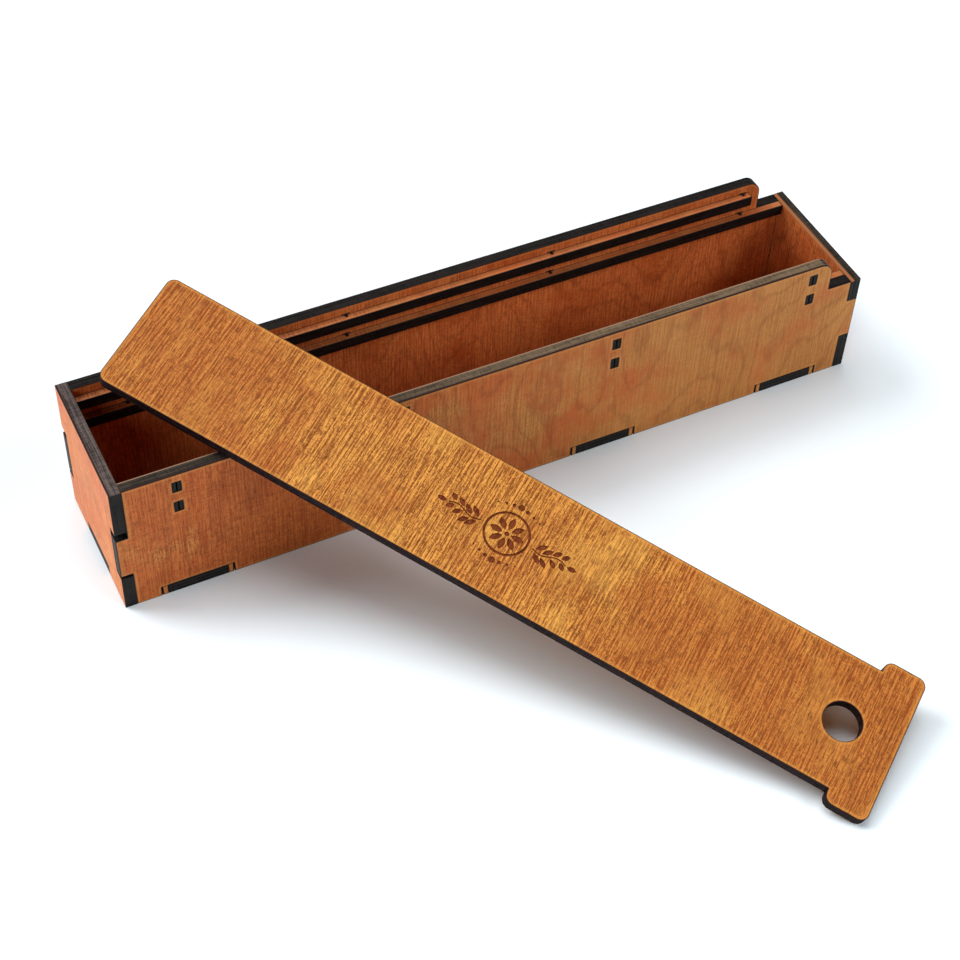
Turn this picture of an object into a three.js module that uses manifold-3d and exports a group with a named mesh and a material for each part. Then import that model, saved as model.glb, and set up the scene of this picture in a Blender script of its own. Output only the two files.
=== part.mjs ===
// A long, narrow keepsake box, laser-cut from one thickness of plywood and pressed together.
// Two long walls, two end plates and a floor hold each other with fingers and tabs. Two rails on
// each wall make a groove for a flat lid with a T-shaped head, which slides in over the lower end.
// The lid is shown taken off, lying across the front wall with its head on the table.
//
// Millimetres, +Z up. The origin is the centre of the box's underside, +X points to the entry end.

import * as THREE from 'three';
import { mergeVertices } from 'three/addons/utils/BufferGeometryUtils.js';
import Module from 'manifold-3d';

// Sheet and box
const PLY = 4;                    // thickness of the plywood that every piece is cut from
const LENGTH = 273;               // over both end plates
const WIDTH = 51.8;               // over both long walls
const HEIGHT = 53.6;              // raised walls and the closed end plate
const ENTRY_LENGTH = 13.5;        // lowered stretch of the walls, to the plate's outer face
const SHOULDER_RADIUS = 5;        // rounded corner where a raised wall stops
const SEAM = 0.1;                 // play on each side of a tab in its notch or hole

// Corner fingers: each wall has one, held between two fingers of the end plate
const FINGER_FOOT = 15.2;         // underside of a wall's finger
const FINGER_HEADROOM = 9.1;      // from a wall's finger up to the entry plate's top edge
const FINGER_GAP = 0.3;           // seam between a wall's finger and the plate's notch
const CLOSED_FOOT_SLACK = 1.1;    // over the closed end's lower fingers
const CLOSED_HEAD_SLACK = 2.9;    // under the closed end's upper fingers

// Floor panel tabs, and the relief slits beside their notches
const FLOOR_TAB = 20.4;           // length of a tab
const FLOOR_TAB_COUNT = 4;        // tabs along each wall
const FLOOR_TAB_INSET = 24.9;     // from an end's outer face to the middle of the tab beside it
const SLIT_WIDTH = 0.4;
const SLIT_OFFSET = 2;            // from a notch's end to its slit

// Rails of the lid's groove
const RAIL_DEPTH = 2.9;           // how far a rail stands in from its wall
const GROOVE = 4.8;               // height of the groove between the rails
const WALL_OVER_RAIL = 3.4;       // from the upper rail to the top of its wall
const RAIL_TAB = 2.6;             // length of a tab through the wall
const RAIL_TAB_COUNT = 4;
const RAIL_TAB_START = 21.4;      // from the closed end's outer face to the first tab's middle
const RAIL_TAB_FINISH = 21;       // from the last tab's middle to the entry end's outer face
const RAIL_TAB_RECESS = 0.15;     // a tab stops this far inside the wall's outer face
const RAIL_SLIT = 0.5;            // width of the slit that splits each tab
const RAIL_SLIT_ROOT = 1.2;       // how far that slit runs on into the rail
const RAIL_END_GAP = 0.2;         // between a rail and an end plate
const UPPER_RAIL_SETBACK = 5;     // from the end of the raised wall to the end of the upper rail

// Lid
const LID_SIDE_PLAY = 0.25;       // on each side, between the walls
const LID_END_PLAY = 1.6;         // before the closed end plate, when the head meets the walls
const HEAD_LENGTH = 14.2;
const LID_CORNER = 3;             // radius of the lid's corners
const FINGER_HOLE_RADIUS = 6.35;
const FINGER_HOLE_INSET = 18.7;   // from the head's end to the middle of the finger hole

// Where the lid lies, taken off
const LEAN = THREE.MathUtils.degToRad(17.8);   // its slope
const TURN = THREE.MathUtils.degToRad(127.6);  // turned from +X, in its own plane
const CROSSING = 65.9;            // from the closed end to where its middle crosses the front wall
const LEAN_GAP = 0.3;             // between the lid and the wall's edge that it lies on

// Steps of each round corner and hole, and how far a cutter runs past the faces that it cuts
const ARC_STEPS = 16;
const OVERRUN = 1;

const halfLength = LENGTH / 2;
const halfWidth = WIDTH / 2;
const innerLength = halfLength - PLY;
const innerWidth = halfWidth - PLY;
const raisedEnd = halfLength - ENTRY_LENGTH;
const notchHeight = PLY + SEAM;

// The upper rail hangs under the wall's top edge, the groove is under it, and the lower rail's top
// is level with the entry plate, where the lid slides in
const upperRailFoot = HEIGHT - WALL_OVER_RAIL - PLY;
const entryHeight = upperRailFoot - GROOVE;
const lowerRailFoot = entryHeight - PLY;
const fingerTop = entryHeight - FINGER_HEADROOM;

// Middles of tabs spaced evenly from the first one to the last
function places(first, last, count) {
  return Array.from({ length: count }, (_, k) => first + (last - first) * k / (count - 1));
}

const floorTabReach = halfLength - FLOOR_TAB_INSET;
const floorTabPlaces = places(-floorTabReach, floorTabReach, FLOOR_TAB_COUNT);
const railTabPlaces = places(RAIL_TAB_START - halfLength, halfLength - RAIL_TAB_FINISH, RAIL_TAB_COUNT);

const wasm = await Module();
wasm.setup();

// An outline as a solid from one depth to another
function solidFrom(outline, start, end) {
  const geometry = new THREE.ExtrudeGeometry(outline, {
    depth: end - start, bevelEnabled: false, curveSegments: ARC_STEPS,
  });
  geometry.translate(0, 0, start);
  geometry.deleteAttribute('normal');
  geometry.deleteAttribute('uv');
  const merged = mergeVertices(geometry);
  return new wasm.Manifold(new wasm.Mesh({
    numProp: 3,
    vertProperties: new Float32Array(merged.attributes.position.array),
    triVerts: new Uint32Array(merged.index.array),
  }));
}

// A solid's triangles, each with its own corners so that flat faces shade flat
function geometryFrom(solid) {
  const mesh = solid.getMesh();
  const geometry = new THREE.BufferGeometry();
  geometry.setAttribute('position', new THREE.BufferAttribute(mesh.vertProperties, mesh.numProp));
  geometry.setIndex(new THREE.BufferAttribute(mesh.triVerts, 1));
  const flat = geometry.toNonIndexed();
  flat.computeVertexNormals();
  return flat;
}

// A flat piece cut from the sheet: the outline stands in the plane of the first two axes, and
// each window is an outline that is cut right through it
function cutFromSheet(name, colour, outline, windows, across, up, place) {
  let solid = solidFrom(outline, 0, PLY);
  for (const window of windows) solid = solid.subtract(solidFrom(window, -OVERRUN, PLY + OVERRUN));
  const geometry = geometryFrom(solid);
  const through = new THREE.Vector3().crossVectors(across, up);
  geometry.applyMatrix4(new THREE.Matrix4().makeBasis(across, up, through).setPosition(place));
  const material = new THREE.MeshStandardMaterial({ color: colour, roughness: 0.55, metalness: 0 });
  const mesh = new THREE.Mesh(geometry, material);
  mesh.name = name;
  return mesh;
}

const X = new THREE.Vector3(1, 0, 0);
const Y = new THREE.Vector3(0, 1, 0);
const Z = new THREE.Vector3(0, 0, 1);

// A cut upwards from a bottom edge that runs towards +X
function notch(outline, middle, width, height) {
  outline.lineTo(middle - width / 2, 0);
  outline.lineTo(middle - width / 2, height);
  outline.lineTo(middle + width / 2, height);
  outline.lineTo(middle + width / 2, 0);
}

// A long wall: notches and slits below, a finger at each end, and the lid's entry at the top right
function wallOutline() {
  const outline = new THREE.Shape();
  const notchWidth = FLOOR_TAB + 2 * SEAM;
  const slitReach = notchWidth / 2 + SLIT_OFFSET;
  outline.moveTo(-innerLength, 0);
  for (const middle of floorTabPlaces) {
    notch(outline, middle - slitReach, SLIT_WIDTH, notchHeight);
    notch(outline, middle, notchWidth, notchHeight);
    notch(outline, middle + slitReach, SLIT_WIDTH, notchHeight);
  }
  outline.lineTo(innerLength, 0);
  outline.lineTo(innerLength, FINGER_FOOT);
  outline.lineTo(halfLength, FINGER_FOOT);
  outline.lineTo(halfLength, fingerTop);
  outline.lineTo(innerLength, fingerTop);
  outline.lineTo(innerLength, entryHeight);
  outline.lineTo(raisedEnd, entryHeight);
  outline.absarc(raisedEnd - SHOULDER_RADIUS, HEIGHT - SHOULDER_RADIUS, SHOULDER_RADIUS, 0, Math.PI / 2);
  outline.lineTo(-innerLength, HEIGHT);
  outline.lineTo(-innerLength, fingerTop);
  outline.lineTo(-halfLength, fingerTop);
  outline.lineTo(-halfLength, FINGER_FOOT);
  outline.lineTo(-innerLength, FINGER_FOOT);
  outline.closePath();
  return outline;
}

// The holes in a wall that take the tabs of its two rails
function railHoles() {
  const halfHole = RAIL_TAB / 2 + SEAM;
  const holes = [];
  for (const middle of railTabPlaces) {
    for (const foot of [lowerRailFoot, upperRailFoot]) {
      const hole = new THREE.Shape();
      hole.moveTo(middle - halfHole, foot - SEAM);
      hole.lineTo(middle + halfHole, foot - SEAM);
      hole.lineTo(middle + halfHole, foot + PLY + SEAM);
      hole.lineTo(middle - halfHole, foot + PLY + SEAM);
      hole.closePath();
      holes.push(hole);
    }
  }
  return holes;
}

// An end plate: two fingers on each side hold the wall's finger, and a notch takes the floor's tab
function endOutline(height, lowerFingerTop, upperFingerFoot) {
  const outline = new THREE.Shape();
  const waist = innerWidth - FINGER_GAP;
  outline.moveTo(-halfWidth, 0);
  notch(outline, 0, FLOOR_TAB + 2 * SEAM, notchHeight);
  outline.lineTo(halfWidth, 0);
  outline.lineTo(halfWidth, lowerFingerTop);
  outline.lineTo(waist, lowerFingerTop);
  outline.lineTo(waist, upperFingerFoot);
  outline.lineTo(halfWidth, upperFingerFoot);
  outline.lineTo(halfWidth, height);
  outline.lineTo(-halfWidth, height);
  outline.lineTo(-halfWidth, upperFingerFoot);
  outline.lineTo(-waist, upperFingerFoot);
  outline.lineTo(-waist, lowerFingerTop);
  outline.lineTo(-halfWidth, lowerFingerTop);
  outline.closePath();
  return outline;
}

// The floor: a rectangle between the walls, with tabs that reach their outer faces
function floorOutline() {
  const outline = new THREE.Shape();
  outline.moveTo(-innerLength, -innerWidth);
  for (const middle of floorTabPlaces) {
    outline.lineTo(middle - FLOOR_TAB / 2, -innerWidth);
    outline.lineTo(middle - FLOOR_TAB / 2, -halfWidth);
    outline.lineTo(middle + FLOOR_TAB / 2, -halfWidth);
    outline.lineTo(middle + FLOOR_TAB / 2, -innerWidth);
  }
  outline.lineTo(innerLength, -innerWidth);
  outline.lineTo(innerLength, -FLOOR_TAB / 2);
  outline.lineTo(halfLength, -FLOOR_TAB / 2);
  outline.lineTo(halfLength, FLOOR_TAB / 2);
  outline.lineTo(innerLength, FLOOR_TAB / 2);
  outline.lineTo(innerLength, innerWidth);
  for (const middle of [...floorTabPlaces].reverse()) {
    outline.lineTo(middle + FLOOR_TAB / 2, innerWidth);
    outline.lineTo(middle + FLOOR_TAB / 2, halfWidth);
    outline.lineTo(middle - FLOOR_TAB / 2, halfWidth);
    outline.lineTo(middle - FLOOR_TAB / 2, innerWidth);
  }
  outline.lineTo(-innerLength, innerWidth);
  outline.lineTo(-innerLength, FLOOR_TAB / 2);
  outline.lineTo(-halfLength, FLOOR_TAB / 2);
  outline.lineTo(-halfLength, -FLOOR_TAB / 2);
  outline.lineTo(-innerLength, -FLOOR_TAB / 2);
  outline.closePath();
  return outline;
}

// A rail seen from above, for the wall on the side given by its sign. Each tab is split by a slit,
// so that it springs in its hole.
function railOutline(side, farEnd) {
  const back = innerWidth;
  const edge = innerWidth - RAIL_DEPTH;
  const tip = halfWidth - RAIL_TAB_RECESS;
  const root = innerWidth - RAIL_SLIT_ROOT;
  const points = [[farEnd, edge], [RAIL_END_GAP - innerLength, edge], [RAIL_END_GAP - innerLength, back]];
  for (const middle of railTabPlaces) {
    points.push([middle - RAIL_TAB / 2, back], [middle - RAIL_TAB / 2, tip]);
    points.push([middle - RAIL_SLIT / 2, tip], [middle - RAIL_SLIT / 2, root]);
    points.push([middle + RAIL_SLIT / 2, root], [middle + RAIL_SLIT / 2, tip]);
    points.push([middle + RAIL_TAB / 2, tip], [middle + RAIL_TAB / 2, back]);
  }
  points.push([farEnd, back]);
  return new THREE.Shape(points.map(([x, y]) => new THREE.Vector2(x, side * y)));
}

// The lid lies along +X with its head at the origin. Its tongue slides in the groove, and the ears
// of its head come to lie on the lowered walls.
const tongueHalf = innerWidth - LID_SIDE_PLAY;
const tongueLength = raisedEnd + innerLength - LID_END_PLAY;
const lidLength = HEAD_LENGTH + tongueLength;
const headCornerHalf = halfWidth - LID_CORNER;

function lidOutline() {
  const outline = new THREE.Shape();
  const quarter = Math.PI / 2;
  const round = (x, y, start) => outline.absarc(x, y, LID_CORNER, start, start + quarter);
  outline.moveTo(LID_CORNER, -halfWidth);
  round(HEAD_LENGTH - LID_CORNER, -headCornerHalf, -quarter);
  outline.lineTo(HEAD_LENGTH, -tongueHalf);
  round(lidLength - LID_CORNER, LID_CORNER - tongueHalf, -quarter);
  round(lidLength - LID_CORNER, tongueHalf - LID_CORNER, 0);
  outline.lineTo(HEAD_LENGTH, tongueHalf);
  round(HEAD_LENGTH - LID_CORNER, headCornerHalf, 0);
  round(LID_CORNER, headCornerHalf, quarter);
  round(LID_CORNER, -headCornerHalf, 2 * quarter);
  outline.closePath();
  return outline;
}

function fingerHole() {
  const outline = new THREE.Shape();
  outline.absarc(FINGER_HOLE_INSET, 0, FINGER_HOLE_RADIUS, 0, 2 * Math.PI);
  return outline;
}

// Colours of the stained sheet, piece by piece
const WALL_COLOUR = 0xa8682f;
const END_COLOUR = 0xd98c5b;
const FLOOR_COLOUR = 0x7a3a1c;
const RAIL_COLOUR = 0x96572b;
const LID_COLOUR = 0xc68a3f;

function wall(name, farFace) {
  const place = new THREE.Vector3(0, farFace, 0);
  return cutFromSheet(name, WALL_COLOUR, wallOutline(), railHoles(), X, Z, place);
}

function closedEnd() {
  const outline = endOutline(HEIGHT, FINGER_FOOT - CLOSED_FOOT_SLACK, fingerTop + CLOSED_HEAD_SLACK);
  return cutFromSheet('left_end', END_COLOUR, outline, [], Y, Z, new THREE.Vector3(-halfLength, 0, 0));
}

function entryEnd() {
  const outline = endOutline(entryHeight, FINGER_FOOT - SEAM, fingerTop + SEAM);
  return cutFromSheet('right_end', END_COLOUR, outline, [], Y, Z, new THREE.Vector3(innerLength, 0, 0));
}

function floor() {
  return cutFromSheet('bottom_panel', FLOOR_COLOUR, floorOutline(), [], X, Y, new THREE.Vector3(0, 0, 0));
}

function rail(name, side, foot, farEnd) {
  return cutFromSheet(name, RAIL_COLOUR, railOutline(side, farEnd), [], X, Y, new THREE.Vector3(0, 0, foot));
}

// The lid lies on the front wall's outer top edge, and one round corner of its head on the table.
// In its sloping plane, distances up the slope are counted from the wall's edge.
function leaningLid() {
  const lowest = -(HEIGHT + LEAN_GAP * Math.cos(LEAN)) / Math.sin(LEAN);
  const cornerDrop = LID_CORNER - LID_CORNER * Math.sin(TURN) + headCornerHalf * Math.abs(Math.cos(TURN));
  const headUpSlope = lowest + cornerDrop;
  const headAlongWall = CROSSING - halfLength + headUpSlope / Math.tan(TURN);
  const slope = new THREE.Group();
  slope.position.set(0, -halfWidth, HEIGHT);
  slope.rotation.x = LEAN;
  const lid = cutFromSheet('lid', LID_COLOUR, lidOutline(), [fingerHole()], X, Y, new THREE.Vector3(0, 0, 0));
  lid.position.set(headAlongWall, headUpSlope, LEAN_GAP);
  lid.rotation.z = TURN;
  slope.add(lid);
  return slope;
}

const group = new THREE.Group();
group.add(wall('front_wall', -innerWidth));
group.add(wall('back_wall', halfWidth));
group.add(closedEnd());
group.add(entryEnd());
group.add(floor());

const upperRailEnd = raisedEnd - UPPER_RAIL_SETBACK;
const lowerRailEnd = innerLength - RAIL_END_GAP;
for (const [place, side] of [['front', -1], ['back', 1]]) {
  group.add(rail(`${place}_rail_lower`, side, lowerRailFoot, lowerRailEnd));
  group.add(rail(`${place}_rail_upper`, side, upperRailFoot, upperRailEnd));
}
group.add(leaningLid());

export default group;
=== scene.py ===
# %% [markdown]
# # A laser-cut keepsake box with a slide-in lid
# The object is a long plywood box. Ten flat pieces were cut by a laser from one 4 mm sheet and
# pressed together. Its stained veneer has a fine grain, and every cut edge is charred nearly
# black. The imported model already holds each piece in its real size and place, so this script
# only dresses it: it rebuilds each piece as a finer plate and gives it wood and char.

# %% Load the frame
import math

import bpy
import numpy as np
from mathutils import Matrix, Vector
from mathutils.geometry import delaunay_2d_cdt


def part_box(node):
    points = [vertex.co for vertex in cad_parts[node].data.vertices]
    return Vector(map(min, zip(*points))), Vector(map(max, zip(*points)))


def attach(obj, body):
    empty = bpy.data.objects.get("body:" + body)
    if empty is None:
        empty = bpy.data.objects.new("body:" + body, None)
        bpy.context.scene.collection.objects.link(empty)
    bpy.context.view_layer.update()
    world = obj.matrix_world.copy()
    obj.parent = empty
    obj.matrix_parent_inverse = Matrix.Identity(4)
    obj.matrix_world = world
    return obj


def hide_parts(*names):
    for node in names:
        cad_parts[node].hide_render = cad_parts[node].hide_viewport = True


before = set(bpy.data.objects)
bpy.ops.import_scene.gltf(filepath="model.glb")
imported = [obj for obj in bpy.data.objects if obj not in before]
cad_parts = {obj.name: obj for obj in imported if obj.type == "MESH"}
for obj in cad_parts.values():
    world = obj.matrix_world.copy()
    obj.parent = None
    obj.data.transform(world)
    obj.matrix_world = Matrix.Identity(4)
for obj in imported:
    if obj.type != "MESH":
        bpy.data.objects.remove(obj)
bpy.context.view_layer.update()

MM = 0.001
X, Y, Z = np.eye(3)
print("Pieces in the frame:", ", ".join(sorted(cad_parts)))

# %% [markdown]
# ## Reading a cut piece back
# A laser cuts straight through, so one outline says everything about a piece. A face of the
# sheet arrives as triangles. An edge that two of them share lies inside the face, and an edge
# that only one has lies on the outline. Chained together, those edges are the loops to follow:
# one round the outside and one round each window. The wood is always on the left of a loop.

# %% Outline of a piece
def unit(vectors):
    """Each vector divided by its length."""
    return vectors / np.linalg.norm(vectors, axis=-1, keepdims=True)


def corners_and_triangles(name):
    """A node's corners with doubles merged, in millimetres, and its triangles as corner numbers."""
    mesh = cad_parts[name].data
    spots = np.empty(len(mesh.vertices) * 3, np.float32)
    mesh.vertices.foreach_get("co", spots)
    numbers = np.empty(len(mesh.loops), np.int32)
    mesh.loops.foreach_get("vertex_index", numbers)
    corners, merged = np.unique(spots.reshape(-1, 3), axis=0, return_inverse=True)
    return corners.astype(float) / MM, merged.ravel()[numbers].reshape(-1, 3)


def triangle_normals(corners, triangles):
    """Cross product of two sides, which is twice the triangle's area long."""
    a, b, c = (corners[triangles[:, k]] for k in range(3))
    return np.cross(b - a, c - a)


FACING = 0.999  # cosine: a triangle belongs to the sheet's face if it looks this nearly the same way


def outline_loops(corners, triangles, through):
    """Loops of corner numbers round the face that looks along through."""
    facing = unit(triangle_normals(corners, triangles)) @ through > FACING
    face = triangles[facing]
    sides = np.concatenate([face[:, [0, 1]], face[:, [1, 2]], face[:, [2, 0]]]).tolist()
    known = set(map(tuple, sides))
    border = {start: end for start, end in sides if (end, start) not in known}
    loops = []
    while border:
        loop = [next(iter(border))]
        while (following := border.pop(loop[-1])) != loop[0]:
            loop.append(following)
        loops.append(np.array(loop))
    return loops


# %% [markdown]
# The box's pieces lie along the frame's own axes. The lid leans, so its axes are measured:
# its face looks along the normal of its largest triangle, and its length follows the longest
# side of its outline, up the slope.

# %% Axes of each sheet
AXES = {
    "front_wall": (X, -Y), "back_wall": (-X, Y), "left_end": (-Y, -X), "right_end": (Y, X),
    "bottom_panel": (X, Z), "front_rail_lower": (X, Z), "front_rail_upper": (X, Z),
    "back_rail_lower": (X, Z), "back_rail_upper": (X, Z),
}


def lid_axes():
    """Length of the lid, up its slope, and the normal of its upper face."""
    corners, triangles = corners_and_triangles("lid")
    normals = triangle_normals(corners, triangles)
    through = unit(normals[np.linalg.norm(normals, axis=1).argmax()])
    through = through * np.sign(through[2])
    loop = max(outline_loops(corners, triangles, through), key=len)
    sides = np.roll(corners[loop], -1, axis=0) - corners[loop]
    along = unit(sides[np.linalg.norm(sides, axis=1).argmax()])
    return along * np.sign(along[2]), through


AXES["lid"] = lid_axes()
print("The lid slopes", round(math.degrees(math.acos(AXES["lid"][1][2])), 2), "degrees")


# %% [markdown]
# ## Building a plate
# A plate has two kinds of surface. The cut edge is a profile carried round every loop: a tiny
# rounded corner above and below, and a shallow groove at each glue line, where the laser burns
# deeper. The two faces of the sheet are triangles that fill the loops. A Bevel modifier could round
# the corners but not burn the grooves, and the faces would stay long thin triangles, so both are
# worked out as arrays.

# %% Loops as evenly spaced points
STEP = 2.0          # longest side of a loop after it is divided, mm
SAME_SHARE = 1e-6   # a side that is this little too long is not cut once more


def divided(points):
    """A closed loop with each side cut into equal parts no longer than the step."""
    sides = np.roll(points, -1, axis=0) - points
    parts = np.maximum(1, np.ceil(np.linalg.norm(sides, axis=1) / STEP - SAME_SHARE)).astype(int)
    side = np.repeat(np.arange(len(points)), parts)
    share = (np.arange(len(side)) - np.repeat(np.cumsum(parts) - parts, parts)) / parts[side]
    return points[side] + share[:, None] * sides[side]


def outward(points):
    """For each point of a loop, the way out of the wood, long enough to shift both its sides by 1."""
    ahead = unit(np.roll(points, -1, axis=0) - points)
    after = np.stack([ahead[:, 1], -ahead[:, 0]], axis=1)
    before = np.roll(after, 1, axis=0)
    return (before + after) / (1 + (before * after).sum(axis=1, keepdims=True))


# %% Points inside the outline
RING_INSETS = (0.45, 1.3)   # rings of points beside the cut, mm
GRID = 2.6                  # spacing of the points further in, mm
CLEAR_SHARE = 0.95          # a ring's point stays if it has this much of its inset to every loop
POINT_DIGITS = 3            # points are rounded to this many digits of a millimetre


def crossings(points, loops):
    """How many sides of the loops a ray from each point towards +x crosses."""
    count = np.zeros(len(points), int)
    for loop in loops:
        low, high = loop, np.roll(loop, -1, axis=0)
        y = points[:, 1, None]
        spans = (low[:, 1] > y) != (high[:, 1] > y)
        rise = np.where(high[:, 1] == low[:, 1], 1, high[:, 1] - low[:, 1])
        reach = low[:, 0] + (y - low[:, 1]) / rise * (high[:, 0] - low[:, 0])
        count += (spans & (points[:, 0, None] < reach)).sum(axis=1)
    return count


def distance_to(points, loops):
    """Distance from each point to the nearest side of the loops: to the foot of the perpendicular,
    held between the side's two ends."""
    nearest = np.full(len(points), np.inf)
    for loop in loops:
        sides = np.roll(loop, -1, axis=0) - loop
        offset = points[:, None] - loop
        share = np.clip((offset * sides).sum(axis=2) / (sides ** 2).sum(axis=1), 0, 1)
        gaps = np.linalg.norm(offset - share[..., None] * sides, axis=2)
        nearest = np.minimum(nearest, gaps.min(axis=1))
    return nearest


def inner_points(loops):
    """Points to hang triangles on: rings beside the loops, then a grid with every other row moved
    by half a step."""
    found = []
    for inset in RING_INSETS:
        ring = np.concatenate([loop - inset * outward(loop) for loop in loops])
        found.append(ring[distance_to(ring, loops) > inset * CLEAR_SHARE])
    low, high = (f(np.concatenate(loops), axis=0) for f in (np.min, np.max))
    across, up = np.meshgrid(np.arange(low[0], high[0], GRID), np.arange(low[1], high[1], GRID))
    across[1::2] += GRID / 2
    field = np.stack([across.ravel(), up.ravel()], axis=1)
    found.append(field[distance_to(field, loops) > RING_INSETS[-1] + GRID / 3])
    points = np.unique(np.round(np.concatenate(found), POINT_DIGITS), axis=0)
    return points[crossings(points, loops) % 2 == 1]


# %% Loops filled with triangles
MEETING = 1e-7      # points closer than this count as one while triangles are found, mm
MOVED = 1e-4        # a point that moves further than this was on another outline, mm


def following_points(loops):
    """For the loops' points in one row, the number of the point that follows each one round its loop."""
    starts = np.cumsum([0] + [len(loop) for loop in loops])
    return np.concatenate([first + np.roll(np.arange(len(loop)), -1) for first, loop in zip(starts, loops)])


def filled(loops, inner):
    """Triangles that fill the loops, with the inner points as corners too. The loops' points come
    first. A triangle is kept if an odd number of loops lies round it."""
    sides = list(enumerate(following_points(loops).tolist()))
    points = np.concatenate(loops + [inner])
    spots, _, faces, *_ = delaunay_2d_cdt(points.tolist(), sides, [], 0, MEETING)
    spots = np.array([tuple(s) for s in spots])
    faces = np.array(faces)
    if len(spots) != len(points) or np.abs(spots - points).max() > MOVED:
        raise ValueError("two outlines cross or touch")
    middles = points[faces].mean(axis=1)
    return points, faces[crossings(middles, loops) % 2 == 1]


# %% The cut edge
ARRIS = 0.15                    # radius of the rounded corner between a face and the cut, mm
GLUE_LINE_SHARES = (0.3, 0.7)   # where the glue lines lie in the sheet's thickness
GLUE_GROOVE = (0.12, 0.05)      # half height and depth of the groove burnt at a glue line, mm
ARRIS_TURNS = np.radians([0, 30, 60, 90])   # where the rounded corner has its points


def edge_profile(thickness):
    """Rows from the upper face to the lower one, each as (inset, height)."""
    corner = ARRIS * np.stack([1 - np.sin(ARRIS_TURNS), 1 - np.cos(ARRIS_TURNS)], axis=1)
    half, depth = GLUE_GROOVE
    rows = [corner * (1, -1) + (0, thickness)]
    for share in reversed(GLUE_LINE_SHARES):
        height = share * thickness
        rows.append(np.array([(0, height + half), (depth, height), (0, height - half)]))
    rows.append(corner[::-1])
    return np.concatenate(rows)


def carried(profile, loops):
    """The profile carried round the loops: point (row, k) is loop point k moved in by the row's inset
    and raised to its height. Returns the points, row by row, and the quads between them."""
    border = np.concatenate(loops)
    ways = np.concatenate([outward(loop) for loop in loops])
    following = following_points(loops)
    insets, heights = profile[:, 0, None, None], profile[:, 1, None, None]
    flat = border - insets * ways
    points = np.concatenate([flat, np.broadcast_to(heights, flat.shape[:2] + (1,))], axis=2)
    here = np.arange(len(border))
    row = np.arange(len(profile) - 1)[:, None] * len(border)
    corners = (row + here, row + len(border) + here, row + len(border) + following, row + following)
    return points.reshape(-1, 3), np.stack(corners, axis=2).reshape(-1, 4)


# %% [markdown]
# The parts above come together in one function. An engraving is a pocket: its walls are carried
# round its loops as the cut edge is, and its floor fills them. Each surface is worked out by
# itself, and points that fall on the same spot are then made one, so the plate is closed.

# %% Surfaces of one plate
FACE, CUT, ENGRAVED = range(3)      # material slots of a plate
POCKET = (0.06, 0.3)                # how far a pocket's wall leans in, and its depth, mm
WELD_DIGITS = 4                     # points that agree to this many digits of a millimetre are one


def rows_apart(points, loops):
    """A row of points that lie loop after loop, as a list of loops."""
    return np.split(points, np.cumsum([len(loop) for loop in loops])[:-1])


def at_height(points, height):
    """Flat points with a third coordinate."""
    return np.column_stack([points, np.full(len(points), height)])


def pocket_surfaces(pockets, height):
    """Walls and floor of the pockets sunk into a face at this height."""
    lean, depth = POCKET
    walls, quads = carried(np.array([(0, height), (-lean, height - depth)]), pockets)
    rim = sum(map(len, pockets))
    floor, triangles = filled(rows_apart(walls[rim:, :2], pockets), np.empty((0, 2)))
    return [(walls, quads, ENGRAVED), (at_height(floor, height - depth), triangles, ENGRAVED)]


def plate_surfaces(loops, thickness, pockets):
    """Cut edge, lower face, upper face and pockets, each as points, faces and material slot."""
    edge, quads = carried(edge_profile(thickness), loops)
    rim = rows_apart(edge[:sum(map(len, loops)), :2], loops)
    lower, down = filled(rim, inner_points(rim))
    upper, up = filled(rim + pockets, inner_points(rim + pockets)) if pockets else (lower, down)
    found = [(edge, quads, CUT), (at_height(lower, 0), down[:, ::-1], FACE)]
    found.append((at_height(upper, thickness), up, FACE))
    return found + (pocket_surfaces(pockets, thickness) if pockets else [])


def welded(surfaces):
    """All surfaces as one list of points, and the faces of each as numbers in it."""
    starts = np.cumsum([0] + [len(points) for points, _, _ in surfaces])
    every = np.round(np.concatenate([points for points, _, _ in surfaces]), WELD_DIGITS)
    spots, number = np.unique(every, axis=0, return_inverse=True)
    number = number.ravel()
    return spots, [(number[faces + first], slot) for first, (_, faces, slot) in zip(starts, surfaces)]


# %% [markdown]
# Each point also keeps two facts for the wood: where it lies on the sheet, in millimetres along,
# across and through the piece, and how far it is from the cut. The finishes read these two
# attributes, so the grain follows the leaning lid as well, and stays on it when the lid moves.

# %% One plate
SMOOTH_UNDER = math.radians(50)     # edges that bend less than this shade as round


def make_piece(name, points, groups, distance, place, materials):
    """A mesh object of the plate's points and face groups, each group with a material slot."""
    mesh = bpy.data.meshes.new(name)
    faces = [face for group, _ in groups for face in group.tolist()]
    mesh.from_pydata(place(points).tolist(), [], faces)
    slots = np.concatenate([np.full(len(group), slot) for group, slot in groups])
    mesh.polygons.foreach_set("material_index", slots.astype(np.int32))
    mesh.polygons.foreach_set("use_smooth", slots == CUT)
    sheet = mesh.attributes.new("sheet_mm", "FLOAT_VECTOR", "POINT")
    sheet.data.foreach_set("vector", points.astype(np.float32).ravel())
    cut = mesh.attributes.new("from_cut_mm", "FLOAT", "POINT")
    cut.data.foreach_set("value", distance.astype(np.float32))
    mesh.set_sharp_from_angle(angle=SMOOTH_UNDER)
    for material in materials:
        mesh.materials.append(material)
    mesh.update()
    piece = bpy.data.objects.new(name, mesh)
    bpy.context.scene.collection.objects.link(piece)
    return piece


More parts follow.
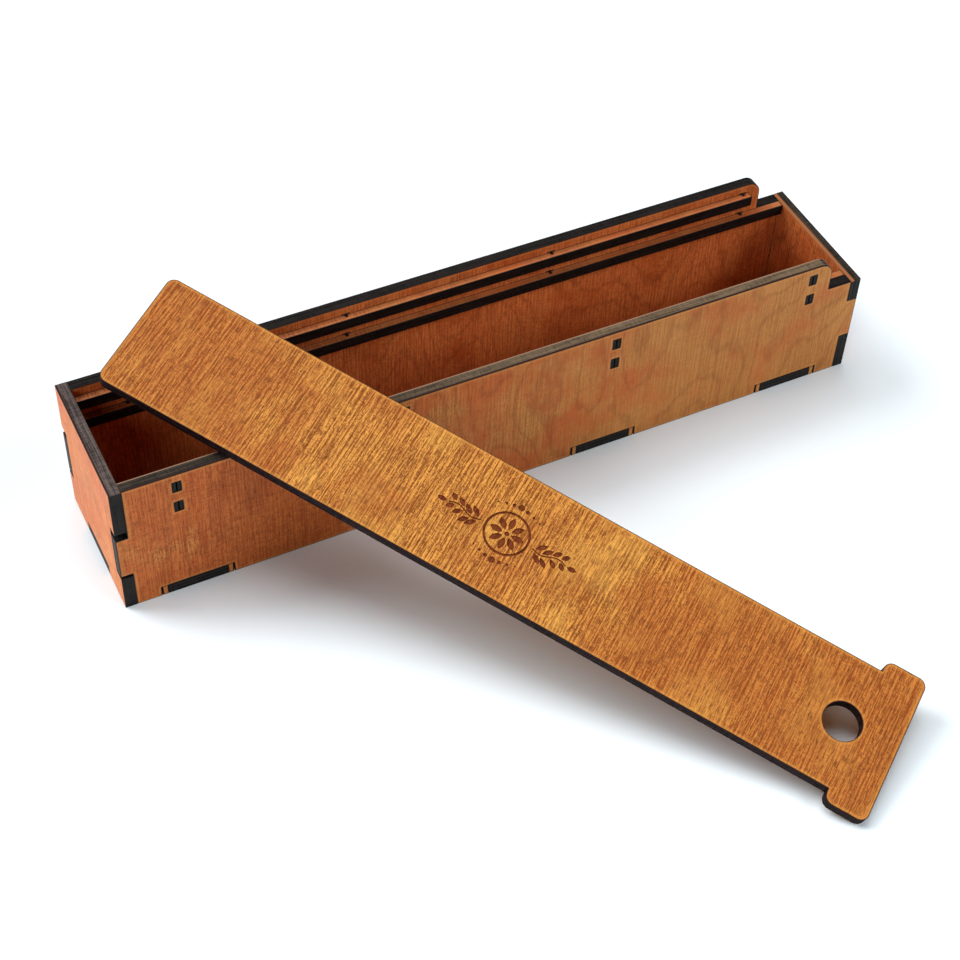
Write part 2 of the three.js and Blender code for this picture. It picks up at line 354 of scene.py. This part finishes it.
def sheet_of(name):
    """A node's loops in its own axes, its thickness, and the function that puts points back."""
    corners, triangles = corners_and_triangles(name)
    along, through = AXES[name]
    turn = np.stack([along, np.cross(through, along), through])
    local = corners @ turn.T
    origin = local.min(axis=0)
    loops = [divided(local[loop, :2] - origin[:2]) for loop in outline_loops(corners, triangles, through)]
    return loops, np.ptp(local[:, 2]), lambda points: (points + origin) @ turn * MM


def cut_plate(name, body, materials, pockets):
    """The finer plate that stands for a node."""
    loops, thickness, place = sheet_of(name)
    points, groups = welded(plate_surfaces(loops, thickness, pockets))
    piece = make_piece("cut_" + name, points, groups, distance_to(points[:, :2], loops), place, materials)
    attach(piece, body)
    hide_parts(name)
    triangles = sum(len(faces) * (faces.shape[1] - 2) for faces, _ in groups)
    print(f"{name}: {len(loops)} loops, {thickness:.2f} mm thick, {triangles} triangles")


# %% [markdown]
# ## The engraved ornament
# The lid carries a small engraving in its middle. This one is a plain rosette of eight petals in
# a ring, with a leafy sprig on either side. It could be painted on by a texture, but the laser
# burns it 0.3 mm deep, so it is cut as real pockets. Every shape is a closed loop from a formula.

# %% Shapes to engrave
LEAF_POINTS = 22


def clockwise(points):
    """The loop turned so that it runs clockwise. The wood round a pocket is then on its left."""
    ahead = np.roll(points, -1, axis=0)
    doubled_area = (points[:, 0] * ahead[:, 1] - points[:, 1] * ahead[:, 0]).sum()
    return points if doubled_area < 0 else points[::-1]


def disc(middle, radius, count):
    """A circle: the middle plus radius times cosine and sine."""
    turn = np.linspace(0, 2 * np.pi, count, endpoint=False)
    return clockwise(np.array(middle) + radius * np.stack([np.cos(turn), np.sin(turn)], axis=1))


def leaf(root, tip, half_width):
    """A leaf: as the turn goes once round, the way along it is half of one minus cosine, and the
    width to the side is sine times its own size, which makes both ends pointed."""
    root, tip = np.array(root), np.array(tip)
    turn = np.linspace(0, 2 * np.pi, LEAF_POINTS, endpoint=False)
    way, side = (1 - np.cos(turn)) / 2, np.sin(turn) * np.abs(np.sin(turn))
    length = tip - root
    aside = unit(np.array([-length[1], length[0]]))
    return clockwise(root + way[:, None] * length + half_width * side[:, None] * aside)


def band(middle_line, half_width):
    """A ribbon along a line of points: the line moved to one side, then back along the other."""
    ahead = unit(np.gradient(middle_line, axis=0))
    aside = half_width * np.stack([-ahead[:, 1], ahead[:, 0]], axis=1)
    return clockwise(np.concatenate([middle_line + aside, (middle_line - aside)[::-1]]))


# %% The rosette
PETALS = 8
PETAL_REACH = (1.5, 5.9)        # from the rosette's middle to a petal's root and tip, mm
PETAL_HALF_WIDTH = 1.05
RING_RADII = (6.8, 7.6)
BUTTON_RADIUS = 0.8
CIRCLE_POINTS = 64
DOT_POINTS = 16


def around(middle, distance, angle):
    """The point at a distance and an angle from a middle."""
    return np.array(middle) + distance * np.array([math.cos(angle), math.sin(angle)])


def rosette(middle):
    """A button, petals round it, and a ring whose inner circle runs the other way round."""
    angles = [2 * math.pi * k / PETALS for k in range(PETALS)]
    petals = [leaf(*(around(middle, reach, a) for reach in PETAL_REACH), PETAL_HALF_WIDTH) for a in angles]
    inner, outer = (disc(middle, radius, CIRCLE_POINTS) for radius in RING_RADII)
    return petals + [disc(middle, BUTTON_RADIUS, DOT_POINTS), outer, inner[::-1]]


# %% The sprigs
STEM_REACH = (9.0, 20.5)        # from the rosette's middle to the stem's two ends, mm
STEM_WAVE = 0.9                 # how far the stem swings to the side, mm
STEM_HALF_WIDTH = 0.2
STEM_POINTS = 24
LEAF_PAIRS = 4
FIRST_PAIR_SHARE = 0.35         # where the first pair stands, as a share of the way to the second
LEAF_LENGTHS = (4.4, 2.6)       # of the first and the last pair, mm
LEAF_HALF_WIDTH = 0.85
LEAF_ANGLE = math.radians(42)
LEAF_GAP = 0.75                 # between the middle of the stem and a leaf's root, mm
TIP_LEAF = (0.6, 3.2)           # gap before the last leaf, and its length, mm


def sprig(middle, way):
    """A waving stem with pairs of leaves that get shorter, and one leaf at its tip. The way is 1 or -1."""
    share = np.linspace(0, 1, STEM_POINTS)
    reach = STEM_REACH[0] + share * (STEM_REACH[1] - STEM_REACH[0])
    stem = np.array(middle) + np.stack([way * reach, STEM_WAVE * np.sin(2 * np.pi * share)], axis=1)
    shapes = [band(stem, STEM_HALF_WIDTH)]
    for share in (np.arange(LEAF_PAIRS) + FIRST_PAIR_SHARE) / LEAF_PAIRS:
        foot = stem[int(share * (STEM_POINTS - 1))]
        length = LEAF_LENGTHS[0] + share * (LEAF_LENGTHS[1] - LEAF_LENGTHS[0])
        for side in (1, -1):
            grows = np.array([way * math.cos(LEAF_ANGLE), side * math.sin(LEAF_ANGLE)])
            root = foot + LEAF_GAP * np.array([0, side])
            shapes.append(leaf(root, root + length * grows, LEAF_HALF_WIDTH))
    gap, length = TIP_LEAF
    root = stem[-1] + np.array([way * gap, 0])
    return shapes + [leaf(root, root + np.array([way * length, 0]), LEAF_HALF_WIDTH)]


# %% The dots above and below
DOT_RADII = (1.1, 0.65, 0.45, 0.3)  # from the middle outwards, mm
DOT_SPACING = 2.4
DOT_HEIGHT = 10.2                   # from the rosette's middle, mm
DOT_SAG = 0.35                      # how much the first dot aside sinks towards the lid's middle, mm
DOT_SAG_POWER = 1.5                 # the further ones sink more, as their number to this power


def dots(middle, side):
    """A row of dots that get smaller to both ends and follow a shallow arc."""
    found = []
    for k, radius in enumerate(DOT_RADII):
        for way in (1, -1) if k else (1,):
            offset = np.array([way * k * DOT_SPACING, side * (DOT_HEIGHT - DOT_SAG * k ** DOT_SAG_POWER)])
            found.append(disc(np.array(middle) + offset, radius, DOT_POINTS))
    return found


# %% The whole ornament
LID_BODY_WIDTH = np.ptp(sheet_of("lid")[0][0][:, 1])
ORNAMENT_MIDDLE = (135.0, LID_BODY_WIDTH / 2)      # from the head's end and from the lid's edge, mm
ORNAMENT = rosette(ORNAMENT_MIDDLE)
for way in (1, -1):
    ORNAMENT += sprig(ORNAMENT_MIDDLE, way) + dots(ORNAMENT_MIDDLE, way)
print("The ornament has", len(ORNAMENT), "loops")

# %% [markdown]
# ## Finishes
# A material here is a small network of shader nodes. It starts from the place on the sheet, which
# the attribute gives in millimetres, so every noise below is set in real sizes. The functions in
# the next cell keep the networks readable: each adds one node, or the few that belong together.

# %% Small tools for shader nodes
def new_material(name):
    """An empty material, and a function that adds nodes to it. A socket given as a value is linked,
    anything else is set on the input itself."""
    material = bpy.data.materials.new(name)
    material.use_nodes = True
    tree = material.node_tree
    tree.nodes.clear()

    def add(kind, sockets, **settings):
        node = tree.nodes.new("ShaderNode" + kind)
        for key, value in settings.items():
            setattr(node, key, value)
        for key, value in sockets.items():
            if isinstance(value, bpy.types.NodeSocket):
                tree.links.new(value, node.inputs[key])
            else:
                node.inputs[key].default_value = value
        return node.outputs

    return material, add


def colour(red, green, blue):
    """A screen colour, 0 to 255, as the linear colour that a shader needs."""
    share = np.array([red, green, blue]) / 255
    linear = np.where(share < 0.04045, share / 12.92, ((share + 0.055) / 1.055) ** 2.4)
    return (*linear.tolist(), 1)


def mixed(add, share, first, second):
    """The first colour going over to the second as the share goes from 0 to 1."""
    return add("Mix", {0: share, 6: first, 7: second}, data_type="RGBA")[2]


def noise(add, place, squeeze, **sockets):
    """Noise on the sheet: squeeze is how many cells it has in a millimetre along, across and through."""
    spot = add("VectorMath", {0: place, 1: squeeze}, operation="MULTIPLY")[0]
    values = {"Vector": spot, "Scale": 1, "Detail": 2, "Roughness": 0.5}
    return add("TexNoise", values | sockets)["Fac"]


def spread(add, value, low, high, to_low=0, to_high=1):
    """The stretch of a value from low to high, spread smoothly over another range and held at its ends."""
    limits = {"Value": value, "From Min": low, "From Max": high, "To Min": to_low, "To Max": to_high}
    return add("MapRange", limits, interpolation_type="SMOOTHSTEP")["Result"]


def maths(add, operation, first, second=0.0, third=0.0):
    """One sum. MULTIPLY_ADD is the first times the second plus the third."""
    return add("Math", {0: first, 1: second, 2: third}, operation=operation)[0]


def weighed(add, values, shares):
    """The values, each times its share, added up."""
    total = 0.0
    for value, share in zip(values, shares):
        total = maths(add, "MULTIPLY_ADD", value, share, total)
    return total


def finished(add, look, height, relief, strength):
    """The last nodes of every finish: a bump that is relief millimetres deep, and the surface."""
    bump = add("Bump", {"Height": height, "Strength": strength, "Distance": relief * MM})[0]
    shader = add("BsdfPrincipled", look | {"Normal": bump})[0]
    add("OutputMaterial", {"Surface": shader})


# %% [markdown]
# ### Stained veneer
# The face is birch veneer, peeled off a turning log in one long ribbon. Its fibres run across the
# pieces. Up close it has five things: fine threads along the fibres, short pores that the knife
# laid open, growth rings that the peeling stretched into flames and islands, short bars across
# the fibres where they curl, and a stain that sank in unevenly. An image of wood would blur up
# close and repeat, so each of the five is noise shaped by a function of its own. CELLS are how
# many cells of noise lie in a millimetre along, across and through the piece, and TONES are from
# where to where the noise goes over from none of a thing to all of it.

# %% Threads and pores
THREAD_SPACING = 1.4    # mm
PUSH_CELLS = (0.35, 0.04, 0.5)
PUSH_TURNS = 2.5        # how many threads the noise pushes the wave to and fro
STRAND_CELLS = (2.8, 0.05, 0.5)
DASH_CELLS = (3.0, 0.4, 0.5)
FLECK_CELLS = (2.4, 1.6, 0.5)
THREAD_SHARES = (0.4, 0.35, 0.25, 0.06)     # of strands, dashes, flecks and wave
THREAD_TONES = (0.38, 0.62)
PORE_CELLS = (3.0, 0.3, 1.0)
PORE_TONES = (0.55, 0.66)


def thread_lines(add, place):
    """Fine lines along the fibres, from 0 for the light ones to 1 for the dark ones: long strands,
    short dashes and flecks, and a sine wave that noise pushes to and fro."""
    push = noise(add, place, PUSH_CELLS)
    along = add("SeparateXYZ", {0: place})["X"]
    turns = weighed(add, (along, push), (1 / THREAD_SPACING, PUSH_TURNS))
    wave = maths(add, "SINE", maths(add, "MULTIPLY", turns, math.tau))
    strands = noise(add, place, STRAND_CELLS, Detail=0)
    dashes = noise(add, place, DASH_CELLS, Detail=1, Roughness=0.6)
    flecks = noise(add, place, FLECK_CELLS, Detail=0)
    return spread(add, weighed(add, (strands, dashes, flecks, wave), THREAD_SHARES), *THREAD_TONES)


def open_pores(add, place):
    """Short dark strokes along the fibres."""
    return spread(add, noise(add, place, PORE_CELLS, Detail=1), *PORE_TONES)


# %% Rings and curl
HILL_CELLS = (0.028, 0.011, 0.05)
SHIVER_CELLS = (0.3, 0.12, 0.5)
SHIVER_SHARE = 0.8                  # of a ring, how far the lines shiver
RING_HALF_SHARE = 0.5               # a ring is darkest half way between two whole heights
RING_TONES = (0.3, RING_HALF_SHARE)
BAR_CELLS = (0.4, 1.4, 0.5)
BAR_TONES = (0.42, 0.64)
PATCH_CELLS = (0.05, 0.07, 0.5)
PATCH_TONES = (0.35, 0.6)
LEAST_CURL_SHARE = 0.4              # of the bars' strength, outside the patches


def growth_rings(add, place, rings):
    """Thin dark lines at even heights of a smooth hilly field, like the lines on a map: the height
    runs to and fro between zero and a half, and a line is where it comes near to the half."""
    hills = noise(add, place, HILL_CELLS, Detail=1)
    height = weighed(add, (hills, noise(add, place, SHIVER_CELLS)), (rings, SHIVER_SHARE))
    return spread(add, maths(add, "PINGPONG", height, RING_HALF_SHARE), *RING_TONES)


def curl_bars(add, place):
    """Short bars across the fibres, stronger in patches."""
    bars = spread(add, noise(add, place, BAR_CELLS, Detail=1, Roughness=0.6), *BAR_TONES)
    patches = spread(add, noise(add, place, PATCH_CELLS, Detail=1), *PATCH_TONES, LEAST_CURL_SHARE)
    return maths(add, "MULTIPLY", bars, patches)


# %% Unevenness of the stain
MOTTLE_CELLS = (0.05, 0.045, 0.3)
MOTTLE_TONES = (0.42, 0.72)
GOLD_CELLS = (0.06, 0.035, 0.2)
GOLD_TONES = (0.5, 0.68)


def stain_depth(add, place, along, zones):
    """How deep the stain sank, as soft mottling. Each zone adds its amount from one place along the
    piece to another; on the front wall the zones are partly red stain and partly painted shade of the lid."""
    depth = noise(add, place, MOTTLE_CELLS, Detail=4, Roughness=0.65)
    for start, full, amount in zones:
        depth = maths(add, "ADD", depth, spread(add, along, start, full, 0, amount))
    return spread(add, depth, *MOTTLE_TONES)


def golden_patches(add, place):
    """Where the stain is thin and the wood shows yellow."""
    return spread(add, noise(add, place, GOLD_CELLS), *GOLD_TONES)


# %% Colour of the wood
SEED_STEP = np.array([311.0, 97.0, 13.0])   # how far each next veneer is cut from the ribbon, mm
MIDDLE_TONE = 0.5


def stained_wood(add, sheet, stain, seed):
    """The layers laid on each other: threads, thin stain, red stain, rings, curl and pores. Returns the
    colour, and the threads and pores for the relief. Where the veneer is calm, the threads stay near
    their middle tone and pores and curl fade."""
    along = add("SeparateXYZ", {0: sheet})["X"]
    place = add("VectorMath", {0: sheet, 1: tuple(seed * SEED_STEP)})[0]
    threads, pores = thread_lines(add, place), open_pores(add, place)
    start, full, calmest = stain["calm"]
    bold = maths(add, "SUBTRACT", 1, spread(add, along, start, full, 0, calmest))
    offset = maths(add, "SUBTRACT", threads, MIDDLE_TONE)
    wood = mixed(add, maths(add, "MULTIPLY_ADD", offset, bold, MIDDLE_TONE), stain["light"], stain["dark"])
    layers = [
        ("gold", "gold_share", golden_patches(add, place)),
        ("red", "red_share", stain_depth(add, place, along, stain["zones"])),
        ("deep", "ring_share", growth_rings(add, place, stain["rings"])),
        ("deep", "curl_share", maths(add, "MULTIPLY", curl_bars(add, place), bold)),
        ("pore", "pore_share", maths(add, "MULTIPLY", pores, bold)),
    ]
    for kind, share, cover in layers:
        wood = mixed(add, maths(add, "MULTIPLY", cover, stain[share]), wood, stain[kind])
    return wood, threads, pores


# %% The veneer put together
SCORCH = (0.15, 0.5)    # char beside the cut: full, then gone, mm
FADED = (0.4, 1.6)      # paler rim beside the char, where the heat dried the stain, mm
SCORCH_SHARE, FADED_SHARE = 0.85, 0.35
SCORCH_COLOUR = colour(58, 38, 32)
GRAIN_RELIEF = 0.04     # mm
GRAIN_SHARES = (-0.6, -1)           # of the relief, down into threads and pores
GRAIN_STRENGTH = 0.6
SATIN, THREAD_SATIN_SHARE = 0.45, 0.12      # roughness, and how much rougher the dark threads are
VENEER_SHINE = 0.15


def veneer(name, stain, seed):
    """Birch veneer under an oil stain, with a satin shine and open grain."""
    material, add = new_material(name)
    sheet = add("Attribute", {}, attribute_name="sheet_mm")["Vector"]
    wood, threads, pores = stained_wood(add, sheet, stain, seed)
    cut = add("Attribute", {}, attribute_name="from_cut_mm")["Fac"]
    wood = mixed(add, spread(add, cut, *FADED, FADED_SHARE, 0), wood, stain["light"])
    wood = mixed(add, spread(add, cut, *SCORCH, SCORCH_SHARE, 0), wood, SCORCH_COLOUR)
    satin = maths(add, "MULTIPLY_ADD", threads, THREAD_SATIN_SHARE, SATIN)
    look = {"Base Color": wood, "Roughness": satin, "Specular IOR Level": VENEER_SHINE}
    finished(add, look, weighed(add, (threads, pores), GRAIN_SHARES), GRAIN_RELIEF, GRAIN_STRENGTH)
    return material


# %% [markdown]
# ### Charred cut
# The laser leaves char that is nearly black, in layers: one for each ply, with thin streaks along
# them. On the upper rims it turns a grey brown: partly wear from hands and sanding, partly painted
# sheen of the light from above. There the outer edge stays dark, and the veneer on the inner side
# shows as a paler line. Deep in a joint the char stays black. Its layers are noise that is thin
# through the sheet and long both other ways, so they run on round every corner of the cut.

# %% Worn rim with painted sheen
WORN_AND_SHEEN = (0.6, 0.1)                   # from where to where the wear and painted sheen set in, mm below the rim
OUTER_LINE = (3.2, 3.6)             # where the rim goes over to its dark outer edge, mm from the inner face
OUTER_LINE_COLOUR = colour(40, 22, 20)
PALE_FADE = 0.15                    # how softly the pale ply ends, mm
PALE_SHARE = 0.85


def worn_and_sheen_rim(add, char, tone, parts, rim):
    """Char with its upper rim worn and given a painted sheen: a grey brown that gets lighter along the
    piece, a dark outer line and a pale inner ply."""
    # Painted sheen and wear: the top of the rim goes over to grey brown.
    worn_and_sheen_top = spread(add, parts["Y"], *(rim["height"] - depth for depth in WORN_AND_SHEEN))
    lighter = spread(add, parts["X"], *rim["lighter"])
    brown = mixed(add, lighter, mixed(add, tone, *rim["dim"]), mixed(add, tone, *rim["bright"]))
    brown = mixed(add, spread(add, parts["Z"], *OUTER_LINE), brown, OUTER_LINE_COLOUR)
    inner = spread(add, parts["Z"], rim["pale_ply"], rim["pale_ply"] + PALE_FADE, PALE_SHARE, 0)
    return mixed(add, worn_and_sheen_top, char, mixed(add, inner, brown, rim["pale"]))


# %% Charred cut
LAYER_CELLS = (0.06, 0.06, 2.0)     # long along the cut, thin through it
BEAM_CELLS = (1.1, 1.1, 0.3)        # the pulses of the beam, upright
CHAR_SHARES = (0.4, 0.6)            # of beam marks and layers
CHAR_TONES = (0.38, 0.62)
CHAR_RELIEF = 0.05                  # mm
CHAR_STRENGTH, CHAR_ROUGHNESS, CHAR_SHINE = 0.5, 0.5, 0.12


def charred(name, black, grey, rim=None, shine=CHAR_SHINE):
    """Char in layers, and the worn rim with painted sheen if the piece has one."""
    material, add = new_material(name)
    sheet = add("Attribute", {}, attribute_name="sheet_mm")["Vector"]
    layers = noise(add, sheet, LAYER_CELLS, Detail=3, Roughness=0.6)
    marks = noise(add, sheet, BEAM_CELLS, Detail=3, Roughness=0.7)
    tone = spread(add, weighed(add, (marks, layers), CHAR_SHARES), *CHAR_TONES)
    char = mixed(add, tone, black, grey)
    if rim:
        char = worn_and_sheen_rim(add, char, tone, add("SeparateXYZ", {0: sheet}), rim)
    look = {"Base Color": char, "Roughness": CHAR_ROUGHNESS, "Specular IOR Level": shine}
    finished(add, look, marks, CHAR_RELIEF, CHAR_STRENGTH)
    return material


# %% [markdown]
# ### Engraved wood
# Where the laser only engraves, it moves to and fro and burns the wood red brown instead of black,
# and leaves fine lines. The pockets are real faces with a slot of their own, so this finish needs
# no mask to say where it lies.

# %% Engraved pockets
HATCH_CELLS = (0.2, 3.5, 0.2)       # the beam's lines, along the lid
FIBRE_CELLS = (1.6, 0.2, 0.5)
BURNT_SHARES = (0.6, 0.4)           # of fibres and hatching
BURNT_TONES = (0.4, 0.6)
BURNT_COLOURS = (colour(88, 36, 14), colour(124, 60, 26))
BURNT_RELIEF = 0.04                 # mm
BURNT_STRENGTH, BURNT_ROUGHNESS, BURNT_SHINE = 0.5, 0.7, 0.1


def engraved(name):
    """The burnt floor of the engraving: red-brown wood under thin char, rough, with the beam's lines."""
    material, add = new_material(name)
    sheet = add("Attribute", {}, attribute_name="sheet_mm")["Vector"]
    hatching = noise(add, sheet, HATCH_CELLS)
    fibres = noise(add, sheet, FIBRE_CELLS)
    tone = spread(add, weighed(add, (fibres, hatching), BURNT_SHARES), *BURNT_TONES)
    burnt = mixed(add, tone, *BURNT_COLOURS)
    look = {"Base Color": burnt, "Roughness": BURNT_ROUGHNESS, "Specular IOR Level": BURNT_SHINE}
    finished(add, look, hatching, BURNT_RELIEF, BURNT_STRENGTH)
    return material


# %% [markdown]
# ## Stains and pieces
# The pieces were stained before they were pressed together, and each took the stain in its own
# way: the lid came out golden, the ends salmon, the insides red. Some tables also hold painted
# light and shade. The left end's light tones are partly painted light from the lamps on its side.
# The insides' lighter, redder tones are partly painted warm light bounced inside the box. The box's
# floor is darkened as painted shade inside it, and the front wall's zones are partly stain and partly
# painted shade of the lid. So each kind of piece has its own table of colours and shares, as changes
# to the table of the outer walls. A zone says where it starts and where it is full, in millimetres
# along the piece, and how much stain, and on the front wall painted shade, it adds. A calm part is
# given in the same way, with the share of the grain that fades. A rim's table says how high the rim
# stands, from where to where along the piece it gets lighter, how wide its pale ply is, and which
# two colours its layers run between at the dim and at the bright end.

# %% Stains of walls, ends, floor and rails
WALL_STAIN = {
    "light": colour(214, 146, 74), "dark": colour(138, 77, 31), "calm": (30, 180, 0.75),
    "gold": colour(204, 140, 74), "gold_share": 0.4,
    "red": colour(184, 84, 34), "red_share": 0.7,
    # The first two zones darken the front wall's left part: partly red stain, partly painted shade of the
    # lid.
    "zones": [(110, 50, 0.12), (210, 130, 0.16), (0, 1, -0.04)],
    "deep": colour(112, 50, 22), "rings": 13, "ring_share": 0.26, "curl_share": 0.35,
    "pore": colour(84, 32, 12), "pore_share": 0.4,
}
EVEN = {"zones": [], "calm": (0, 1, 0.3)}       # the same all along
# The insides' stain is lighter and redder than the walls': partly red stain, partly painted warm light
# bounced inside the box.
INNER_STAIN_WITH_PAINTED_BOUNCE = WALL_STAIN | EVEN | {
    "light": colour(232, 136, 72), "dark": colour(184, 90, 47), "red_share": 0.8, "gold_share": 0.2,
}
# The left end's salmon is its stain; its great lightness is partly painted light from the lamps on that
# side.
END_STAIN_WITH_PAINTED_LIGHT = WALL_STAIN | EVEN | {
    "light": colour(240, 151, 89), "dark": colour(220, 120, 64), "red": colour(218, 108, 62),
    "gold": colour(238, 160, 94), "ring_share": 0.12, "curl_share": 0.15, "pore_share": 0.2,
}
# The box's floor is stained much darker than the walls: the extra darkness is painted shade inside the box.
FLOOR_STAIN_WITH_PAINTED_SHADE = WALL_STAIN | {
    "light": colour(120, 64, 34), "dark": colour(88, 44, 22), "gold_share": 0.1, "zones": [],
}
RAIL_STAIN = WALL_STAIN | {
    "light": colour(184, 112, 66), "dark": colour(134, 74, 42), "red_share": 0.6, "zones": [],
}

# %% Stain of the lid
LID_STAIN = {
    "light": colour(222, 153, 68), "dark": colour(132, 71, 15), "calm": (0, 1, 0),
    "gold": colour(224, 168, 78), "gold_share": 0.4,
    "red": colour(151, 66, 20), "red_share": 0.5,
    "zones": [(190, 250, 0.28), (115, 60, 0.22), (40, 0, 0.35)],
    "deep": colour(107, 50, 12), "rings": 9, "ring_share": 0.2, "curl_share": 0.25,
    "pore": colour(104, 50, 10), "pore_share": 0.75,
}

# %% Char of each kind of rim
WALL_HEIGHT, ENTRY_HEIGHT = (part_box(name)[1][2] / MM for name in ("back_wall", "right_end"))
WALL_RIM = {
    "height": WALL_HEIGHT, "lighter": (40, 170), "pale_ply": 0.4, "pale": colour(150, 118, 96),
    "dim": (colour(28, 24, 20), colour(60, 51, 42)), "bright": (colour(70, 58, 44), colour(112, 94, 74)),
}
LEFT_RIM = WALL_RIM | {
    "lighter": (5, 45), "pale_ply": 0.2, "pale": colour(70, 58, 54),
    "dim": (colour(42, 34, 33), colour(94, 82, 79)), "bright": (colour(46, 39, 36), colour(98, 86, 82)),
}
RIGHT_RIM = WALL_RIM | {"height": ENTRY_HEIGHT, "pale_ply": 1.25, "pale": colour(156, 96, 58)}
LID_CHAR_SHINE = 0.03
BLACK, GREY = colour(9, 8, 7), colour(34, 29, 27)
BLACK_CHAR = charred("black char", BLACK, GREY)
# The rims' grey brown is partly wear, partly painted sheen of the light from above.
RIM_CHAR = charred("worn wall char with painted sheen", BLACK, GREY, WALL_RIM)
LEFT_CHAR = charred("worn left end char with painted sheen", BLACK, GREY, LEFT_RIM)
RIGHT_CHAR = charred("worn right end char with painted sheen", BLACK, GREY, RIGHT_RIM)
LID_CHAR = charred("lid char", colour(14, 8, 9), colour(46, 30, 32), shine=LID_CHAR_SHINE)
BURNT = engraved("engraved wood")
print("The walls are", round(WALL_HEIGHT, 2), "mm high, the entry", round(ENTRY_HEIGHT, 2), "mm")

# %% Build the pieces
RAIL_SHEET = ("box", "rail_ply", veneer("rail veneer", RAIL_STAIN, 5), BLACK_CHAR)
SHEETS = {
    "front_wall": ("box", "wall_ply", veneer("front wall veneer with painted lid shade", WALL_STAIN, 1), RIM_CHAR),
    "back_wall": ("box", "wall_ply", veneer("back wall veneer with painted bounce light", INNER_STAIN_WITH_PAINTED_BOUNCE, 2), BLACK_CHAR),
    # The left end's veneer holds painted light from the lamps on its side.
    "left_end": ("box", "end_ply", veneer("end veneer", END_STAIN_WITH_PAINTED_LIGHT, 3), LEFT_CHAR),
    "bottom_panel": ("box", "floor_ply", veneer("floor veneer with painted shade", FLOOR_STAIN_WITH_PAINTED_SHADE, 4), BLACK_CHAR),
    "front_rail_lower": RAIL_SHEET,
    "lid": ("lid", "lid_ply", veneer("lid veneer", LID_STAIN, 6), LID_CHAR),
    "right_end": ("box", "end_ply", veneer("right end veneer with painted bounce light", INNER_STAIN_WITH_PAINTED_BOUNCE, 7), RIGHT_CHAR),
    "front_rail_upper": RAIL_SHEET,
    "back_rail_lower": RAIL_SHEET,
    "back_rail_upper": RAIL_SHEET,
}
for name, (body, slot, wood, char) in SHEETS.items():
    cut_plate(name, body, [wood, char, BURNT], ORNAMENT if name == "lid" else [])

# %% [markdown]
# ## Studio
# The box stands on a white table that is so brightly lit that it has no edge. Its paint is a touch
# blue, because the wood throws warm light into the shadows. The camera is a little long, low enough
# to see the front wall and high enough to look into the box. Its place was worked out from the
# box's edges in the photograph.

# %% Floor
FLOOR_SIZE = 6      # metres, wide enough to fill the view
FLOOR_PAINT = (0.8, 0.88, 0.93, 1)
FLOOR_ROUGHNESS = 0.9
bpy.ops.mesh.primitive_plane_add(size=FLOOR_SIZE)
floor = bpy.context.object
floor.name = "studio_floor"
paint, add = new_material("studio floor")
white = add("BsdfPrincipled", {"Base Color": FLOOR_PAINT, "Roughness": FLOOR_ROUGHNESS})[0]
add("OutputMaterial", {"Surface": white})
floor.data.materials.append(paint)

# %% Camera
CAMERA_PLACE = np.array([-221.88, -423.71, 499.46]) * MM
CAMERA_AZIMUTH, CAMERA_HEIGHT, CAMERA_ROLL = np.radians([-118.017, 47.740, 2.684])
FOCAL_LENGTH, SENSOR_WIDTH = 74.0, 36.0


def towards(azimuth, height):
    """The unit vector at a compass angle, counted from +X, and at a height above the horizon."""
    level = math.cos(height)
    return np.array([level * math.cos(azimuth), level * math.sin(azimuth), math.sin(height)])


backwards = towards(CAMERA_AZIMUTH, CAMERA_HEIGHT)
level_right = unit(np.cross(Z, backwards))
level_up = np.cross(backwards, level_right)
right = math.cos(CAMERA_ROLL) * level_right + math.sin(CAMERA_ROLL) * level_up
pose = np.eye(4)
pose[:3] = np.column_stack([right, np.cross(backwards, right), backwards, CAMERA_PLACE])
camera = bpy.data.objects.new("camera", bpy.data.cameras.new("camera"))
camera.data.lens = FOCAL_LENGTH
camera.data.sensor_width = SENSOR_WIDTH
camera.matrix_world = Matrix(pose.tolist())
bpy.context.scene.collection.objects.link(camera)
bpy.context.scene.camera = camera
print("The camera looks down", round(math.degrees(CAMERA_HEIGHT), 1), "degrees")

# %% [markdown]
# The light is soft. A broad key stands high behind the left end, so the shadows fall to the front
# right. A second lamp hangs nearly overhead, and two weaker ones keep the front wall readable. Sun
# lamps with a wide angle stand in for large softboxes. The room itself gives hardly any light, but
# the camera sees it white, so that the table runs on into it without a horizon.

# %% Room
scene = bpy.context.scene
scene.view_settings.view_transform = "Standard"
ROOM_SHARE = 0.02       # light of the room on the box, where 1 is the white of the picture
world = bpy.data.worlds.new("studio")
world.use_nodes = True
backdrop = world.node_tree.nodes["Background"]
backdrop.inputs["Color"].default_value = (1, 1, 1, 1)
rays = world.node_tree.nodes.new("ShaderNodeLightPath")
seen = world.node_tree.nodes.new("ShaderNodeMapRange")
seen.inputs["To Min"].default_value = ROOM_SHARE
world.node_tree.links.new(rays.outputs["Is Camera Ray"], seen.inputs["Value"])
world.node_tree.links.new(seen.outputs["Result"], backdrop.inputs["Strength"])
scene.world = world


# %% Lamps
def softbox(name, azimuth, height, width, share):
    """A lamp far away, a disc of so many degrees, that adds its share to the light on the floor."""
    lamp = bpy.data.lights.new(name, "SUN")
    lamp.angle = math.radians(width)
    lamp.energy = math.pi * share / math.sin(math.radians(height))
    holder = bpy.data.objects.new(name, lamp)
    way = Vector(towards(math.radians(azimuth), math.radians(height)))
    holder.rotation_euler = way.to_track_quat("Z", "Y").to_euler()
    scene.collection.objects.link(holder)
    print(f"{name}: {lamp.energy:.2f} W for each square metre")


softbox("key", azimuth=135, height=45, width=32, share=0.5)
softbox("overhead", azimuth=90, height=77, width=40, share=0.5)
softbox("front right", azimuth=-45, height=40, width=32, share=0.27)
softbox("front left", azimuth=225, height=30, width=28, share=0.13)
